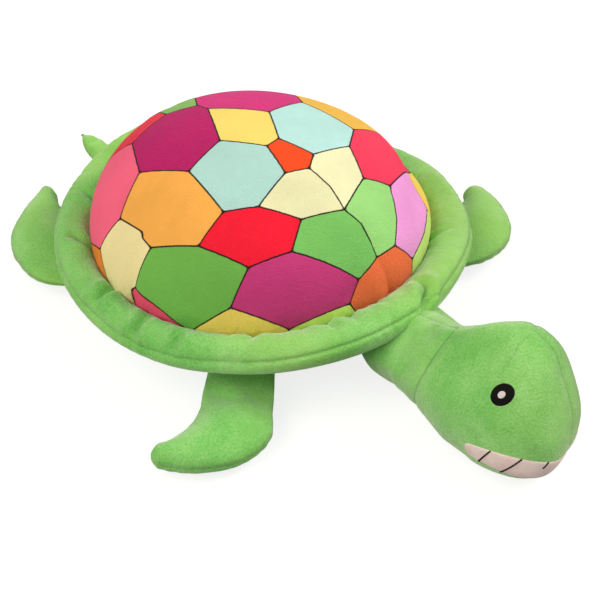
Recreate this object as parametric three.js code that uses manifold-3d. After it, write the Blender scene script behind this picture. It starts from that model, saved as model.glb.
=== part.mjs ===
// Plush turtle pillow: a stuffed shell with a padded rim carries a neck and head, four flippers and a tail.
// Millimetres. +Z is up, the head points to -Y and the turtle's left side is +X.
// The origin is the centre of the flat underside of the belly, where the pillow rests.

import * as THREE from 'three';
import { mergeVertices } from 'three/addons/utils/BufferGeometryUtils.js';
import Module from 'manifold-3d';

// Cloth thicknesses, each with its pile
const PLUSH = 3;
const PRINTED_PLUSH = 2.4;
const LINING = 1;
const FELT = 1.2;
const STITCH = 0.8;
const SEWN_EDGE = 2.5;

// Clearances
const SEAM_GAP = 0.4;
const TURN_GAP = 0.7;
const NAPE_GAP = 2;

// Shell: a tube of stuffing runs round the rim, higher at the head and tail than at the sides
const RIM_RADIUS = 157;
const RIM_HALF_WIDTH = 16;
const RIM_HALF_HEIGHT = 13;
const RIM_HEIGHT = 60;
const RIM_SADDLE = 8;
const DOME_RISE = 97;
const DOME_FULLNESS = 0.92;
const BELLY_ROUND = 50;
const DOME_SEAM_DEGREES = 162;
const BAND_SEAM_DEGREES = -30;
const BELLY_SEAM_DEGREES = -155;
const CREASE_DEGREES = -110;

// Neck, hung from the rim's outer face
const NECK_HINGE_DEGREES = 22;
const NECK_LENGTH = 42;
const NECK_ROOT_WIDTH = 76;
const NECK_WIDTH = 68;
const NECK_CHIN_HEIGHT = 8;
const NECK_LIFT_DEGREES = 20;
const NECK_DROP_DEGREES = 10;
const NECK_ASIDE = 5;
const NECK_SWING_DEGREES = 13;

// Head
const HEAD_LENGTH = 110;
const HEAD_WIDTH = 112;
const CROWN_HEIGHT = 116;
const CHIN_HEIGHT = 1.5;
const NOSE_HEIGHT = 38;
const HEAD_PIVOT_AHEAD = 42;
const HEAD_PIVOT_HEIGHT = 48;
const HEAD_NAPE_WIDTH = 60;
const HEAD_NAPE_HEIGHT = 13;
const HEAD_TURN_DEGREES = 28;
const HEAD_TILT_DEGREES = 10;

// Eyes and mouth, as seen from the side of a level head: eyes set below the crown, the mouth above the table
const EYE_BACK = 41;
const EYE_BELOW_CROWN = 30;
const EYE_LENGTH = 17.5;
const EYE_BREADTH = 15;
const GLINT_LENGTH = 6.5;
const MOUTH_CORNER_BACK = 66;
const MOUTH_CORNER_HEIGHT = 34;
const MOUTH_TOP_HEIGHT = 36;
const MOUTH_DEPTH = 27;
const MOUTH_SAG = 4;
const TOOTH_LINE_MARGIN = 1;
const TOOTH_LINE_WIDTH = 1.8;
const TOOTH_LINE_DEGREES = [22, 52, 80];

// Flippers: root places are angles from the head, sweeps turn the paddle towards the tail
const FRONT_FLIPPER_LENGTH = 110;
const REAR_FLIPPER_LENGTH = 106;
const FRONT_FLIPPER_WIDTH = 56;
const REAR_FLIPPER_WIDTH = 62;
const FLIPPER_HALF_DEPTH = 14;
const FLIPPER_HINGE_HEIGHT = 20;
const FLIPPER_DROOP_DEGREES = 2.5;
const FRONT_ROOT_DEGREES = 54;
const REAR_ROOT_DEGREES = 136;
const FRONT_RIGHT_SWEEP_DEGREES = -3;
const FRONT_LEFT_SWEEP_DEGREES = 20;
const REAR_SWEEP_DEGREES = 38;

// Tail
const TAIL_LENGTH = 94;
const TAIL_WIDTH = 38;
const TAIL_HALF_DEPTH = 8.5;
const TAIL_HINGE_HEIGHT = 24;
const TAIL_RISE_DEGREES = 15;

// Facets
const SHELL_SIDES = 32;
const LIMB_SIDES = 10;
const HEAD_SIDES = 14;
const BALL_SIDES = 20;

// Colours
const GREEN_PLUSH = 0x84c95f;
const SHADED_GREEN_PLUSH = 0x74b552;
const PRINTED_PINK = 0xd9477f;
const WHITE_FIBRE = 0xf3f1ea;
const LINING_WHITE = 0xe4e2d8;
const EYE_BLACK = 0x161512;
const EYE_WHITE = 0xf4eeee;
const TOOTH_SATIN = 0xeedcd6;

const FAR = 1000;
const radians = THREE.MathUtils.degToRad;
const wasm = await Module();
wasm.setup();

// Joining and cutting

// A closed geometry as a solid. Triangles that shrink to a line at a pole are dropped.
function solid(geometry) {
  const bare = new THREE.BufferGeometry();
  bare.setAttribute('position', geometry.getAttribute('position'));
  bare.setIndex(geometry.index);
  const welded = mergeVertices(bare, 1e-3);
  const corners = [];
  for (let i = 0; i < welded.index.count; i += 3) {
    const [a, b, c] = [0, 1, 2].map((k) => welded.index.getX(i + k));
    if (a !== b && b !== c && c !== a) corners.push(a, b, c);
  }
  const vertProperties = new Float32Array(welded.getAttribute('position').array);
  return new wasm.Manifold(new wasm.Mesh({ numProp: 3, vertProperties, triVerts: new Uint32Array(corners) }));
}

function geometryOf(shape) {
  const { vertProperties, triVerts } = shape.getMesh();
  const geometry = new THREE.BufferGeometry();
  geometry.setAttribute('position', new THREE.Float32BufferAttribute(vertProperties, 3));
  geometry.setIndex(Array.from(triVerts));
  geometry.computeVertexNormals();
  return geometry;
}

function piece(name, shape, color, roughness = 0.95) {
  const material = new THREE.MeshStandardMaterial({ color, roughness, metalness: 0 });
  const mesh = new THREE.Mesh(geometryOf(shape), material);
  mesh.name = name;
  return mesh;
}

// Everything on one side of a plane through the origin, a little away from it.
function halfSpace(direction) {
  const box = new THREE.BoxGeometry(FAR, FAR, FAR);
  const shift = direction.clone().multiplyScalar(FAR / 2 + SEAM_GAP / 2);
  return solid(box.translate(shift.x, shift.y, shift.z));
}

// Shell

const rimPoint = (degrees, inset) => new THREE.Vector2(
  RIM_RADIUS + (RIM_HALF_WIDTH - inset) * Math.cos(radians(degrees)),
  RIM_HEIGHT + (RIM_HALF_HEIGHT - inset) * Math.sin(radians(degrees)),
);

function steps(from, to, count, place) {
  return Array.from({ length: count + 1 }, (_, i) => place(from + ((to - from) * i) / count));
}

// The whole shell is bent like a saddle: the ends of the rim rise and its sides sink.
function saddleLift(x, y, z) {
  const share = THREE.MathUtils.clamp(z / RIM_HEIGHT, 0, 1);
  return (RIM_SADDLE * share * (y * y - x * x)) / (RIM_RADIUS * RIM_RADIUS);
}

function turned(profile) {
  const geometry = new THREE.LatheGeometry(profile, SHELL_SIDES).rotateX(Math.PI / 2);
  const places = geometry.getAttribute('position');
  for (let i = 0; i < places.count; i += 1) {
    const [x, y, z] = [places.getX(i), places.getY(i), places.getZ(i)];
    places.setZ(i, z + saddleLift(x, y, z));
  }
  return solid(geometry);
}

const domeSeam = rimPoint(DOME_SEAM_DEGREES, 0);
const bellySeam = rimPoint(BELLY_SEAM_DEGREES, 0);
const bellyFlatRadius = bellySeam.x - BELLY_ROUND;

// Outlines from the table up, drawn in by an inset

function domeLine(inset, foot) {
  const height = RIM_HEIGHT + DOME_RISE - domeSeam.y;
  return steps(0, 90, 6, (degrees) => new THREE.Vector2(
    (domeSeam.x - inset) * Math.max(0, Math.cos(radians(degrees))) ** DOME_FULLNESS,
    domeSeam.y + foot + (height - inset - foot) * Math.sin(radians(degrees)) ** DOME_FULLNESS,
  ));
}

function bellyLine(inset, headroom) {
  return steps(0, 90, 4, (degrees) => new THREE.Vector2(
    bellyFlatRadius + (BELLY_ROUND - inset) * Math.sin(radians(degrees)),
    inset + (bellySeam.y - headroom - inset) * (1 - Math.cos(radians(degrees))),
  ));
}

function rimBand(fromDegrees, toDegrees, count) {
  const trim = THREE.MathUtils.radToDeg(SEAM_GAP / RIM_HALF_HEIGHT);
  const outer = steps(fromDegrees + trim, toDegrees - trim, count, (a) => rimPoint(a, 0));
  const inner = steps(toDegrees - trim, fromDegrees + trim, count, (a) => rimPoint(a, PLUSH));
  return turned([...outer, ...inner, outer[0]]);
}

const axis = (height) => new THREE.Vector2(0, height);

const domeCover = turned([
  ...domeLine(PRINTED_PLUSH, SEAM_GAP).reverse(),
  ...domeLine(0, SEAM_GAP),
]);
const rimUpperBand = rimBand(BAND_SEAM_DEGREES, DOME_SEAM_DEGREES, 8);
const rimLowerBand = rimBand(BELLY_SEAM_DEGREES, BAND_SEAM_DEGREES, 5);
const bellyPanel = turned([
  axis(0),
  ...bellyLine(0, SEAM_GAP),
  ...bellyLine(PLUSH, SEAM_GAP).reverse(),
  axis(PLUSH),
]);

const dividerOuter = domeSeam.x - SEAM_GAP;
const rimDivider = turned([
  new THREE.Vector2(dividerOuter - LINING, bellySeam.y + SEAM_GAP),
  new THREE.Vector2(dividerOuter, bellySeam.y + SEAM_GAP),
  new THREE.Vector2(dividerOuter, domeSeam.y - SEAM_GAP),
  new THREE.Vector2(dividerOuter - LINING, domeSeam.y - SEAM_GAP),
  new THREE.Vector2(dividerOuter - LINING, bellySeam.y + SEAM_GAP),
]);

const rimFillInset = PLUSH + 1.5 * SEAM_GAP;
const rimFillReach = Math.max(-1, (domeSeam.x - RIM_RADIUS) / (RIM_HALF_WIDTH - rimFillInset));
const rimFillDegrees = THREE.MathUtils.radToDeg(Math.acos(rimFillReach)) - 1;
const rimFillArc = steps(-rimFillDegrees, rimFillDegrees, 8, (a) => rimPoint(a, rimFillInset));
const rimStuffing = turned([...rimFillArc, rimFillArc[0]]);

const bodyStuffing = turned([
  axis(PLUSH + SEAM_GAP),
  ...bellyLine(PLUSH + SEAM_GAP, 0),
  ...domeLine(PRINTED_PLUSH + SEAM_GAP, 0),
]);

// The room that the shell takes up, with a seam's gap all round and the crease under its rim filled.
const rimRing = steps(-180, 180, 24, (degrees) => rimPoint(degrees, -SEAM_GAP));
const creaseEdge = rimPoint(CREASE_DEGREES, -SEAM_GAP);
const creaseFloor = new THREE.Vector2(bellyFlatRadius, creaseEdge.y);
const shellRoom = turned([axis(-SEAM_GAP), ...bellyLine(-SEAM_GAP, 0), axis(bellySeam.y)])
  .add(turned(rimRing))
  .add(turned([creaseFloor, creaseEdge, bellySeam, creaseFloor]))
  .add(turned([axis(bellySeam.y), new THREE.Vector2(domeSeam.x, bellySeam.y), ...domeLine(-SEAM_GAP, 0)]));

// Stuffed limbs

// A closed bag between two seam edges. Each ring runs from edge to edge and swells by its depth to
// both sides. A positive inset shrinks the bag inside its cloth, a negative one grows it.
function stuffed(rings, depthAxis, sides, inset = 0) {
  const least = 1.2 * Math.max(inset, 0) + 0.01;
  const kept = rings.filter((ring) => ring.a.distanceTo(ring.b) / 2 > least && ring.depth > least);
  const positions = [];
  for (const ring of kept) {
    const middle = middleOf(ring);
    const half = ring.a.clone().sub(middle);
    half.setLength(half.length() - inset);
    for (let k = 0; k < sides; k += 1) {
      const turn = (2 * Math.PI * k) / sides;
      const point = middle.clone().addScaledVector(half, Math.cos(turn));
      positions.push(...point.addScaledVector(depthAxis, (ring.depth - inset) * Math.sin(turn)).toArray());
    }
  }
  const poles = kept.length * sides;
  positions.push(...poleOf(rings[0], kept[0], inset).toArray());
  positions.push(...poleOf(rings.at(-1), kept.at(-1), inset).toArray());
  const index = [];
  for (let k = 0; k < sides; k += 1) {
    const next = (k + 1) % sides;
    index.push(poles, next, k);
    for (let low = 0; low + sides < poles; low += sides) {
      const high = low + sides;
      index.push(low + k, low + next, high + next, low + k, high + next, high + k);
    }
    index.push(poles - sides + k, poles - sides + next, poles + 1);
  }
  const geometry = new THREE.BufferGeometry();
  geometry.setAttribute('position', new THREE.Float32BufferAttribute(positions, 3));
  geometry.setIndex(index);
  return solid(geometry);
}

function middleOf(ring) {
  return ring.a.clone().add(ring.b).multiplyScalar(0.5);
}

// The point that closes a bag: the middle of its end ring, moved in by the inset.
function poleOf(end, ring, inset) {
  const tip = middleOf(end);
  const base = middleOf(ring);
  const run = tip.distanceTo(base);
  return run > Math.max(inset, 0) + 0.01 ? tip.lerp(base, inset / run) : base;
}

// Two seam edges and a swell, each given by the same number of points, as a row of rings.
function ringsBetween(edgeA, edgeB, swells, count) {
  const lineA = new THREE.CatmullRomCurve3(edgeA);
  const lineB = new THREE.CatmullRomCurve3(edgeB);
  const swell = new THREE.SplineCurve(swells.map((depth, i) => new THREE.Vector2(i, depth)));
  return steps(0, 1, count, (t) => ({
    a: lineA.getPoint(t),
    b: lineB.getPoint(t),
    depth: swell.getPoint(t).y,
  }));
}

// The two cloth halves of a bag, on either side of its seam plane, and the stuffing inside them.
function halvesAndStuffing(bag, side, trim) {
  const cloth = trim(bag(0)).subtract(bag(PLUSH));
  const other = side.clone().negate();
  return [
    cloth.intersect(halfSpace(side)),
    cloth.intersect(halfSpace(other)),
    trim(bag(PLUSH + SEAM_GAP)),
  ];
}

const group = new THREE.Group();
group.add(
  piece('dome_cover', domeCover, PRINTED_PINK, 0.9),
  piece('rim_upper_band', rimUpperBand, GREEN_PLUSH),
  piece('rim_lower_band', rimLowerBand, SHADED_GREEN_PLUSH),
  piece('belly_panel', bellyPanel, SHADED_GREEN_PLUSH),
  piece('rim_divider', rimDivider, LINING_WHITE, 0.9),
  piece('rim_stuffing', rimStuffing, WHITE_FIBRE),
  piece('body_stuffing', bodyStuffing, WHITE_FIBRE),
);

// Neck

const acrossAxis = new THREE.Vector3(1, 0, 0);
const upAxis = new THREE.Vector3(0, 0, 1);
const atSide = (forward, height) => new THREE.Vector3(0, -forward, height);

// The neck is drawn from the line where its crown is sewn to the rim, straight ahead along -Y.
const hinge = rimPoint(NECK_HINGE_DEGREES, -SEAM_GAP);
const neckCrown = hinge.y + saddleLift(0, hinge.x, hinge.y);
const pivotForward = NECK_LENGTH + HEAD_PIVOT_AHEAD;
const ballRadius = Math.hypot(NECK_WIDTH / 2, HEAD_PIVOT_AHEAD);
const neckGroup = new THREE.Group();
neckGroup.position.set(-NECK_ASIDE, -hinge.x, 0);
neckGroup.rotation.z = -radians(NECK_SWING_DEGREES);
group.add(neckGroup);

// The round back of the head, which turns in the cupped end of the neck.
function ball(radius) {
  const geometry = new THREE.SphereGeometry(radius, BALL_SIDES, BALL_SIDES / 2);
  return solid(geometry.translate(0, -pivotForward, HEAD_PIVOT_HEIGHT));
}

// The shell's room as the neck sees it when it is lifted about its hinge line.
function shellRoomAt(liftDegrees) {
  neckGroup.updateMatrix();
  const lift = new THREE.Matrix4().makeTranslation(0, -hinge.x, neckCrown)
    .multiply(new THREE.Matrix4().makeRotationX(radians(liftDegrees)))
    .multiply(new THREE.Matrix4().makeTranslation(0, hinge.x, -neckCrown));
  return shellRoom.transform(neckGroup.matrix.clone().invert().multiply(lift).elements);
}

const neckRoom = [-NECK_DROP_DEGREES, -NECK_DROP_DEGREES / 2, NECK_LIFT_DEGREES / 2, NECK_LIFT_DEGREES]
  .reduce((room, degrees) => room.add(shellRoomAt(degrees)), shellRoomAt(0));
const neckCup = ball(ballRadius + TURN_GAP);

const neckStations = [-2 * RIM_HALF_WIDTH, 0, NECK_LENGTH, pivotForward];
const neckRings = ringsBetween(
  neckStations.map((forward) => atSide(forward, NECK_CHIN_HEIGHT)),
  neckStations.map((forward) => atSide(forward, neckCrown)),
  [NECK_ROOT_WIDTH / 2, NECK_ROOT_WIDTH / 2, NECK_WIDTH / 2, NECK_WIDTH / 2],
  6,
);
const [neckLeft, neckRight, neckStuffing] = halvesAndStuffing(
  (inset) => stuffed(neckRings, acrossAxis, HEAD_SIDES, inset),
  acrossAxis,
  (bag) => bag.subtract(neckCup).subtract(neckRoom),
);
neckGroup.add(
  piece('neck_left_panel', neckLeft, GREEN_PLUSH),
  piece('neck_right_panel', neckRight, GREEN_PLUSH),
  piece('neck_stuffing', neckStuffing, WHITE_FIBRE),
);

// Head

const mix = THREE.MathUtils.lerp;
const atHead = (share, height) => atSide(NECK_LENGTH + share * HEAD_LENGTH, height);
const halfHead = HEAD_WIDTH / 2;
const crownLine = [
  atHead(0, neckCrown),
  atHead(0.2, mix(neckCrown, CROWN_HEIGHT, 0.42)),
  atHead(0.4, mix(neckCrown, CROWN_HEIGHT, 0.83)),
  atHead(0.59, CROWN_HEIGHT),
  atHead(0.77, mix(CROWN_HEIGHT, NOSE_HEIGHT, 0.12)),
  atHead(0.9, mix(CROWN_HEIGHT, NOSE_HEIGHT, 0.42)),
  atHead(0.97, mix(CROWN_HEIGHT, NOSE_HEIGHT, 0.72)),
  atHead(1, NOSE_HEIGHT),
];
const chinLine = [
  atHead(0, HEAD_NAPE_HEIGHT),
  atHead(0.18, mix(HEAD_NAPE_HEIGHT, CHIN_HEIGHT, 0.65)),
  atHead(0.38, CHIN_HEIGHT),
  atHead(0.58, CHIN_HEIGHT),
  atHead(0.78, mix(CHIN_HEIGHT, NOSE_HEIGHT, 0.08)),
  atHead(0.91, mix(CHIN_HEIGHT, NOSE_HEIGHT, 0.3)),
  atHead(0.98, mix(CHIN_HEIGHT, NOSE_HEIGHT, 0.62)),
  atHead(1, NOSE_HEIGHT),
];
const cheekLine = [HEAD_NAPE_WIDTH / 2, 0.77 * halfHead, 0.93 * halfHead, halfHead]
  .concat([0.95, 0.78, 0.5, 0].map((share) => share * halfHead));
const headRings = ringsBetween(chinLine, crownLine, cheekLine, 11);
const headBag = (inset) => stuffed(headRings, acrossAxis, HEAD_SIDES, inset);
const aheadOfPivot = new THREE.BoxGeometry(FAR, FAR, FAR).translate(0, -FAR / 2 - pivotForward, 0);
const aboveNeck = new THREE.BoxGeometry(FAR, FAR, FAR).translate(0, 0, FAR / 2 + neckCrown + NAPE_GAP);
const headRoom = ball(ballRadius).add(solid(aheadOfPivot)).add(solid(aboveNeck));
const [headLeft, headRight, headStuffing] = halvesAndStuffing(
  headBag,
  acrossAxis,
  (bag) => bag.intersect(headRoom),
);

// The head turns to its left and tips its right cheek up, about the middle of its round back.
const headGroup = new THREE.Group();
headGroup.position.set(0, -pivotForward, HEAD_PIVOT_HEIGHT);
headGroup.rotation.set(0, radians(HEAD_TILT_DEGREES), radians(HEAD_TURN_DEGREES), 'ZYX');
neckGroup.add(headGroup);
const addToHead = (...meshes) => {
  for (const mesh of meshes) {
    mesh.position.set(0, pivotForward, -HEAD_PIVOT_HEIGHT);
    headGroup.add(mesh);
  }
};
addToHead(
  piece('head_left_panel', headLeft, GREEN_PLUSH),
  piece('head_right_panel', headRight, GREEN_PLUSH),
  piece('head_stuffing', headStuffing, WHITE_FIBRE),
);

// Face

const noseForward = NECK_LENGTH + HEAD_LENGTH;
const layer = (low, high) => headBag(-high).subtract(headBag(-low));
const feltLayer = layer(SEAM_GAP, SEAM_GAP + FELT);
const stitchLayer = layer(2 * SEAM_GAP + FELT, 2 * SEAM_GAP + FELT + STITCH);

// A round bar across the head, whose ends mark out an eye on either cheek.
function eyeBar(length, breadth) {
  const bar = new THREE.CylinderGeometry(0.5, 0.5, FAR, 16).rotateZ(Math.PI / 2);
  bar.scale(1, length, breadth);
  return solid(bar.translate(0, EYE_BACK - noseForward, CROWN_HEIGHT - EYE_BELOW_CROWN));
}

const eyes = feltLayer.intersect(eyeBar(EYE_LENGTH, EYE_BREADTH))
  .subtract(eyeBar(GLINT_LENGTH + SEAM_GAP, GLINT_LENGTH + SEAM_GAP));
const glints = feltLayer.intersect(eyeBar(GLINT_LENGTH - SEAM_GAP, GLINT_LENGTH - SEAM_GAP));
const leftSpace = halfSpace(acrossAxis);
const rightSpace = halfSpace(acrossAxis.clone().negate());
addToHead(
  piece('eye_left', eyes.intersect(leftSpace), EYE_BLACK, 0.7),
  piece('eye_right', eyes.intersect(rightSpace), EYE_BLACK, 0.7),
  piece('eye_left_highlight', glints.intersect(leftSpace), EYE_WHITE, 0.7),
  piece('eye_right_highlight', glints.intersect(rightSpace), EYE_WHITE, 0.7),
);

// The grin as seen from the side: a crescent that opens towards the nose.
function grin(inset) {
  const corner = new THREE.Vector2(MOUTH_CORNER_BACK - noseForward - inset, MOUTH_CORNER_HEIGHT);
  const ahead = -noseForward - 2 * FELT - PLUSH;
  const outline = new THREE.Shape();
  outline.moveTo(corner.x, corner.y);
  outline.quadraticCurveTo(
    corner.x - 0.35 * MOUTH_CORNER_BACK,
    MOUTH_TOP_HEIGHT - MOUTH_DEPTH - MOUTH_SAG + inset,
    ahead,
    MOUTH_TOP_HEIGHT - MOUTH_DEPTH + inset,
  );
  outline.lineTo(ahead, MOUTH_TOP_HEIGHT - inset);
  outline.quadraticCurveTo(
    corner.x - 0.5 * MOUTH_CORNER_BACK,
    MOUTH_TOP_HEIGHT - MOUTH_SAG - inset,
    corner.x,
    corner.y,
  );
  const bar = new THREE.ExtrudeGeometry(outline, { depth: FAR, bevelEnabled: false, curveSegments: 8 });
  bar.translate(0, 0, -FAR / 2).rotateY(Math.PI / 2).rotateX(Math.PI / 2);
  return solid(bar);
}

addToHead(piece('teeth_patch', feltLayer.intersect(grin(0)), TOOTH_SATIN, 0.5));

TOOTH_LINE_DEGREES.forEach((degrees, i) => {
  for (const [side, sign] of [['left', 1], ['right', -1]]) {
    const slab = new THREE.BoxGeometry(TOOTH_LINE_WIDTH, HEAD_LENGTH, CROWN_HEIGHT)
      .translate(0, -HEAD_LENGTH / 2, 0)
      .rotateZ(radians(sign * degrees))
      .translate(0, 0.5 * HEAD_WIDTH - noseForward, 0);
    const line = stitchLayer.intersect(grin(TOOTH_LINE_MARGIN)).intersect(solid(slab));
    addToHead(piece(`tooth_line_${side}_${i + 1}`, line, EYE_BLACK, 0.8));
  }
});

// Flippers

// How far out a sewn edge is set to clear the belly's wall, at a height and an angle from the head.
function limbRoot(height, degrees) {
  const [across, along] = [Math.sin(radians(degrees)), Math.cos(radians(degrees))];
  const wall = bellyLine(0, SEAM_GAP).map(({ x: out, y: up }) => new THREE.Vector2(
    out,
    up + saddleLift(out * across, out * along, up),
  ));
  const above = wall.findIndex((point) => point.y > height);
  const [low, high] = [wall[above - 1], wall[above]];
  const lean = (high.x - low.x) / (high.y - low.y);
  return low.x + (height - low.y) * lean + (SEWN_EDGE + SEAM_GAP) * Math.hypot(1, lean);
}

// The sewn root of a limb is rounded about its hinge line.
function withSewnRoot(rings) {
  const [root] = rings;
  const back = (distance, depth) => ({
    a: root.a.clone().setX(-distance),
    b: root.b.clone().setX(-distance),
    depth,
  });
  return [back(SEWN_EDGE, 0), back(0.87 * SEWN_EDGE, 0.5 * SEWN_EDGE), ...rings];
}

const LIMB_GREENS = [GREEN_PLUSH, SHADED_GREEN_PLUSH];

function limb(name, rings, height, degrees, colors) {
  const bag = (inset) => stuffed(withSewnRoot(rings), upAxis, LIMB_SIDES, inset);
  const [top, bottom, stuffing] = halvesAndStuffing(bag, upAxis, (shape) => shape);
  const hinged = new THREE.Group();
  hinged.add(
    piece(`${name}_upper_panel`, top, colors[0]),
    piece(`${name}_lower_panel`, bottom, colors[1]),
    piece(`${name}_stuffing`, stuffing, WHITE_FIBRE),
  );
  const placed = new THREE.Group();
  placed.position.set(limbRoot(height, degrees), 0, height);
  placed.add(hinged);
  return { placed, hinged };
}

// A paddle drawn from its root outwards, with its tip hooked back towards the tail.
function flipperRings(length, width, sweepDegrees) {
  const half = width / 2;
  const at = (out, back) => {
    const bend = radians(sweepDegrees) * Math.min(1, (2 * out) / length);
    return new THREE.Vector3(out, back, 0).applyAxisAngle(upAxis, bend);
  };
  const leading = [
    at(0, -half),
    at(0.35 * length, -1.04 * half),
    at(0.66 * length, -half),
    at(0.89 * length, -0.35 * half),
    at(0.985 * length, 0.65 * half),
    at(0.98 * length, 1.5 * half),
    at(0.95 * length, 1.85 * half),
    at(0.87 * length, 2 * half),
  ];
  const trailing = [
    at(0, half),
    at(0.22 * length, 0.92 * half),
    at(0.42 * length, 0.95 * half),
    at(0.58 * length, 1.15 * half),
    at(0.68 * length, 1.35 * half),
    at(0.76 * length, 1.6 * half),
    at(0.79 * length, 1.85 * half),
    at(0.87 * length, 2 * half),
  ];
  const swells = [0, 0.62, 0.95, 1, 0.95, 0.8, 0.55, 0].map((share) => share * FLIPPER_HALF_DEPTH);
  swells[0] = SEWN_EDGE;
  return ringsBetween(trailing, leading, swells, 9);
}

const front = [FRONT_ROOT_DEGREES, FRONT_FLIPPER_LENGTH, FRONT_FLIPPER_WIDTH];
const rear = [REAR_ROOT_DEGREES, REAR_FLIPPER_LENGTH, REAR_FLIPPER_WIDTH];
const flippers = [
  ['front_left_flipper', 1, ...front, FRONT_LEFT_SWEEP_DEGREES],
  ['front_right_flipper', -1, ...front, FRONT_RIGHT_SWEEP_DEGREES],
  ['rear_left_flipper', 1, ...rear, REAR_SWEEP_DEGREES],
  ['rear_right_flipper', -1, ...rear, REAR_SWEEP_DEGREES],
];
for (const [name, side, rootDegrees, length, width, sweepDegrees] of flippers) {
  const rings = flipperRings(length, width, sweepDegrees);
  const { placed, hinged } = limb(name, rings, FLIPPER_HINGE_HEIGHT, rootDegrees, LIMB_GREENS);
  hinged.rotation.y = radians(FLIPPER_DROOP_DEGREES);
  const turnedOut = new THREE.Group();
  turnedOut.rotation.z = radians(rootDegrees - 90);
  turnedOut.add(placed);
  const mirrored = new THREE.Group();
  mirrored.scale.x = side;
  mirrored.add(turnedOut);
  group.add(mirrored);
}

// Tail

const tailEdge = (sign) => [[0, 0.5], [0.3, 0.48], [0.6, 0.34], [0.85, 0.2], [1, 0]]
  .map(([out, share]) => new THREE.Vector3(out * TAIL_LENGTH, sign * share * TAIL_WIDTH, 0));
const tailSwells = [0, 0.9, 1, 0.75, 0].map((share) => share * TAIL_HALF_DEPTH);
tailSwells[0] = SEWN_EDGE;
const tailRings = ringsBetween(tailEdge(1), tailEdge(-1), tailSwells, 6);
const tail = limb('tail', tailRings, TAIL_HINGE_HEIGHT, 180, LIMB_GREENS);
tail.hinged.rotation.y = -radians(TAIL_RISE_DEGREES);
const tailTurn = new THREE.Group();
tailTurn.rotation.z = Math.PI / 2;
tailTurn.add(tail.placed);
group.add(tailTurn);

export default group;
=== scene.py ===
"""Plush turtle pillow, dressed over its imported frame: printed dome, padded rim, head, flippers and tail."""

import math

import bpy
import numpy as np
from mathutils import Matrix, Vector
from mathutils.bvhtree import BVHTree
from mathutils.geometry import delaunay_2d_cdt


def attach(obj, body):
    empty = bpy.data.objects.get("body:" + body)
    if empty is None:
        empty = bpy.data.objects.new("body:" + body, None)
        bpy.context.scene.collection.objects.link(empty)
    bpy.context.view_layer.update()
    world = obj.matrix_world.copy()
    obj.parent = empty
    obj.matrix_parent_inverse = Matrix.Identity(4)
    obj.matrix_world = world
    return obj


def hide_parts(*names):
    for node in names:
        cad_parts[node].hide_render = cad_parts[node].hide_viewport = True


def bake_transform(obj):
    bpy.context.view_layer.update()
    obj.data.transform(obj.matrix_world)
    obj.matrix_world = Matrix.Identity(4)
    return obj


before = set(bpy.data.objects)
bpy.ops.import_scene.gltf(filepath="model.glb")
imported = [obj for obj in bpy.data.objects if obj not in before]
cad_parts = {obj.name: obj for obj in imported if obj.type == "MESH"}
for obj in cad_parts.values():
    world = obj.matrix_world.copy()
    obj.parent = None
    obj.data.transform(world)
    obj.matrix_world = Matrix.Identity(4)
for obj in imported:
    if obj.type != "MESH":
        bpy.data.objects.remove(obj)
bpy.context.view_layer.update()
scene = bpy.context.scene


# Camera, light and floor: a plain studio with white paper under the pillow and white all round it. The key
# lamp stands at the right of the picture, and a softer lamp at its left.

scene.view_settings.view_transform = "Standard"

camera = bpy.data.objects.new("camera", bpy.data.cameras.new("camera"))
scene.collection.objects.link(camera)
scene.camera = camera
camera.data.sensor_width = 36
camera.data.lens = 100.3
camera.location = (-0.8043, -0.7767, 0.9026)
aim = Vector((-0.0033, -0.0474, 0.0132))
camera.rotation_euler = (aim - camera.location).to_track_quat("-Z", "Y").to_euler()


def node(owner, kind, inputs=None, **settings):
    """Adds a shader node. A socket among the inputs is linked, anything else is set."""
    made = owner.node_tree.nodes.new(kind)
    for name, value in settings.items():
        setattr(made, name, value)
    for socket, value in (inputs or {}).items():
        if isinstance(value, bpy.types.NodeSocket):
            owner.node_tree.links.new(value, made.inputs[socket])
        else:
            made.inputs[socket].default_value = value
    return made


def linear(code):
    """An sRGB hex colour as linear light."""
    parts = [int(code[i : i + 2], 16) / 255 for i in (1, 3, 5)]
    return (*(c / 12.92 if c <= 0.04045 else ((c + 0.055) / 1.055) ** 2.4 for c in parts), 1.0)


world = bpy.data.worlds.new("soft_studio")
scene.world = world
world.use_nodes = True
world.node_tree.nodes.clear()
path = node(world, "ShaderNodeLightPath").outputs
seen = path["Is Camera Ray"]
for other in ("Is Glossy Ray", "Is Transmission Ray"):
    seen = node(world, "ShaderNodeMath", {0: seen, 1: path[other]}, operation="MAXIMUM").outputs[0]
room = node(world, "ShaderNodeBackground", {"Color": linear("#fbfbf8"), "Strength": 0.42})
white = node(world, "ShaderNodeBackground", {"Color": (1, 1, 1, 1), "Strength": 1.0})
sky = node(world, "ShaderNodeMixShader", {0: seen, 1: room.outputs[0], 2: white.outputs[0]})
node(world, "ShaderNodeOutputWorld", {"Surface": sky.outputs[0]})

for name, strength, spread, colour, shines in [
    ("key", 2.0, 30, "#fffaf2", (-0.75, 0.40, -0.60)),
    ("fill", 1.75, 50, "#fff8ea", (0.72, -0.14, -0.68)),
]:
    lamp = bpy.data.objects.new(name, bpy.data.lights.new(name, "SUN"))
    lamp.data.energy = strength
    lamp.data.angle = math.radians(spread)
    lamp.data.color = linear(colour)[:3]
    lamp.rotation_euler = Vector(shines).to_track_quat("-Z", "Y").to_euler()
    scene.collection.objects.link(lamp)

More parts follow.
